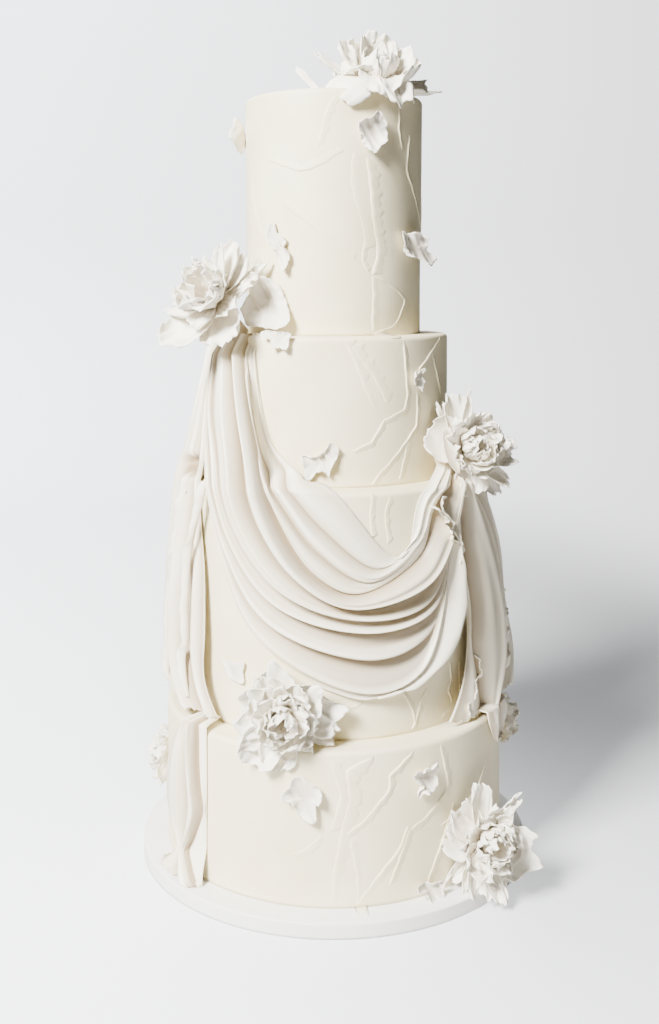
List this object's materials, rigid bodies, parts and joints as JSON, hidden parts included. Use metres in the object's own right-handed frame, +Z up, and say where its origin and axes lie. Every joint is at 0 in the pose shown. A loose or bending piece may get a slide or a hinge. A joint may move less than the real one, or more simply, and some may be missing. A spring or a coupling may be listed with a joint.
{
  "type": "tiered wedding cake",
  "caption": "Tall tiered wedding cake in ivory fondant on a round cake drum, dressed with draped fondant swags, sugar peonies and loose petals.",
  "frame": {"origin": "centre of the cake drum's underside, on the surface that it stands on", "axes": "+Z up through the middle of the tiers, -Y the front with the swag, +X to the right seen from the front"},
  "size_m": [0.356, 0.3578, 0.738],
  "materials": {
    "fondant": "smooth matt rolled fondant, warm ivory",
    "drapery": "thin rolled fondant with a soft pearl sheen",
    "sugar": "dry matt white sugar paste with torn edges",
    "board": "satin white covered board"
  },
  "bodies": {
    "root": {"cake_drum": "board", "tier_1": "fondant", "tier_2": "fondant", "tier_3": "fondant", "tier_4": "fondant", "drape_swag": "drapery", "drape_left_fall": "drapery", "drape_left_tail": "drapery", "drape_right_fall": "drapery", "drape_right_tail": "drapery", "flower_top": "sugar", "flower_left": "sugar", "flower_right": "sugar", "flower_front": "sugar", "flower_base_right": "sugar", "flower_back_left": "sugar", "flower_back_right": "sugar", "petal_top": "sugar", "petal_tier_4_side": "sugar", "petal_tier_4_middle": "sugar", "petal_tier_4_right": "sugar", "petal_tier_4_torn": "sugar", "petal_ledge_left": "sugar", "petal_tier_3_rim": "sugar", "petal_tier_3_right": "sugar", "petal_tier_3_front": "sugar", "petal_tier_2_flat": "sugar", "petal_tier_1_front": "sugar", "petal_tier_1_right": "sugar", "petal_tier_1_foot": "sugar", "petal_tier_1_back": "sugar", "petal_tier_2_back": "sugar", "petal_tier_3_back": "sugar", "petal_tier_4_back": "sugar"}
  },
  "joints": []
}
